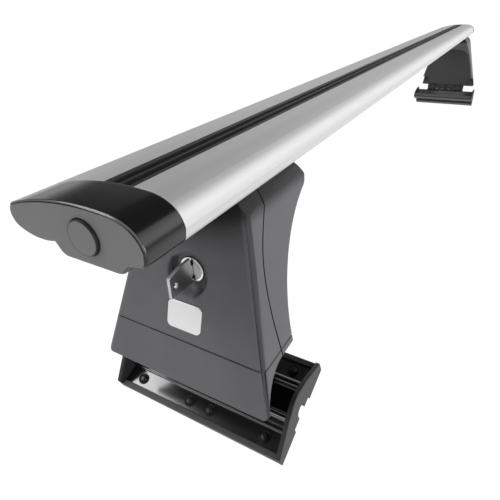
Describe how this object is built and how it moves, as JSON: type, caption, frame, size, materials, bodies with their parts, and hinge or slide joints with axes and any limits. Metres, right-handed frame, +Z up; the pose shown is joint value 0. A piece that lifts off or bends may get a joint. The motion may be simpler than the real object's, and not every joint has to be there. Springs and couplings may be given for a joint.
{
  "type": "roof rack crossbar",
  "caption": "Aerofoil roof rack crossbar with a slotted top, carried on lockable tower feet whose sloping bases stand on a car's roof edges.",
  "frame": {"origin": "midway between the feet, at the height of the bases' lowest edges", "axes": "+X along the bar to its left end, -Y the rounded leading edge, +Z up"},
  "size_m": [1.218, 0.136, 0.1852],
  "materials": {
    "aluminium": "satin anodised",
    "rubber": "matte",
    "tower_plastic": "fine grained",
    "panel_plastic": "grained",
    "black_plastic": "satin",
    "grey_plastic": "satin",
    "black_aluminium": "satin",
    "black_steel": "satin",
    "zinc_steel": "zinc plated",
    "chrome": "polished",
    "pale_plate": "satin"
  },
  "bodies": {
    "bar": {"crossbar_profile": "aluminium", "slot_strip": "rubber", "right_end_cap": "black_plastic", "right_cap_plug": "black_plastic", "right_cap_screw": "zinc_steel", "left_end_cap": "black_plastic", "left_cap_plug": "black_plastic", "left_cap_screw": "zinc_steel"},
    "right_foot": {"right_rear_shell": "tower_plastic", "right_inner_panel": "panel_plastic", "right_support_bracket": "black_steel", "right_slot_plate": "zinc_steel", "right_bar_bolts": "zinc_steel", "right_base_profile": "black_aluminium", "right_outer_pad": "rubber", "right_inner_pad": "rubber", "right_pad_rivets": "black_plastic", "right_front_end_plate": "grey_plastic", "right_rear_end_plate": "grey_plastic", "right_base_bracket": "black_steel", "right_ear_bolts": "black_steel", "right_ear_nuts": "black_steel", "right_centre_screw": "black_steel", "right_base_bolts": "zinc_steel", "right_base_nut_plate": "zinc_steel"},
    "right_cover": {"right_front_cover": "tower_plastic", "right_badge_plate": "pale_plate", "right_lock_sleeve": "chrome", "right_lock_nut": "zinc_steel"},
    "right_lock": {"right_lock_cylinder": "chrome", "right_lock_cam": "zinc_steel"},
    "left_foot": {"left_rear_shell": "tower_plastic", "left_inner_panel": "panel_plastic", "left_support_bracket": "black_steel", "left_slot_plate": "zinc_steel", "left_bar_bolts": "zinc_steel", "left_base_profile": "black_aluminium", "left_outer_pad": "rubber", "left_inner_pad": "rubber", "left_pad_rivets": "black_plastic", "left_front_end_plate": "grey_plastic", "left_rear_end_plate": "grey_plastic", "left_base_bracket": "black_steel", "left_ear_bolts": "black_steel", "left_ear_nuts": "black_steel", "left_centre_screw": "black_steel", "left_base_bolts": "zinc_steel", "left_base_nut_plate": "zinc_steel"},
    "left_cover": {"left_front_cover": "tower_plastic", "left_badge_plate": "pale_plate", "left_lock_sleeve": "chrome", "left_lock_nut": "zinc_steel"},
    "left_lock": {"left_lock_cylinder": "chrome", "left_lock_cam": "zinc_steel"},
    "right_key": {"key": "chrome"}
  },
  "joints": [
    {"name": "right_foot_slide", "type": "slide", "parent": "bar", "child": "right_foot", "axis": [1, 0, 0], "range_m": [-0.03, 0.25]},
    {"name": "right_cover_pull", "type": "slide", "parent": "right_foot", "child": "right_cover", "axis": [-1, 0, 0], "range_m": [0, 0.035]},
    {"name": "right_lock_turn", "type": "hinge", "parent": "right_cover", "child": "right_lock", "pos_m": [-0.5435, 0, 0.11769], "axis": [1, 0, 0], "range_deg": [0, 90]},
    {"name": "left_foot_slide", "type": "slide", "parent": "bar", "child": "left_foot", "axis": [-1, 0, 0], "range_m": [-0.03, 0.25]},
    {"name": "left_cover_pull", "type": "slide", "parent": "left_foot", "child": "left_cover", "axis": [1, 0, 0], "range_m": [0, 0.035]},
    {"name": "left_lock_turn", "type": "hinge", "parent": "left_cover", "child": "left_lock", "pos_m": [0.5435, 0, 0.11769], "axis": [-1, 0, 0], "range_deg": [0, 90]},
    {"name": "right_key_draw", "type": "slide", "parent": "right_lock", "child": "right_key", "axis": [-1, 0, 0], "range_m": [0, 0.02]}
  ]
}
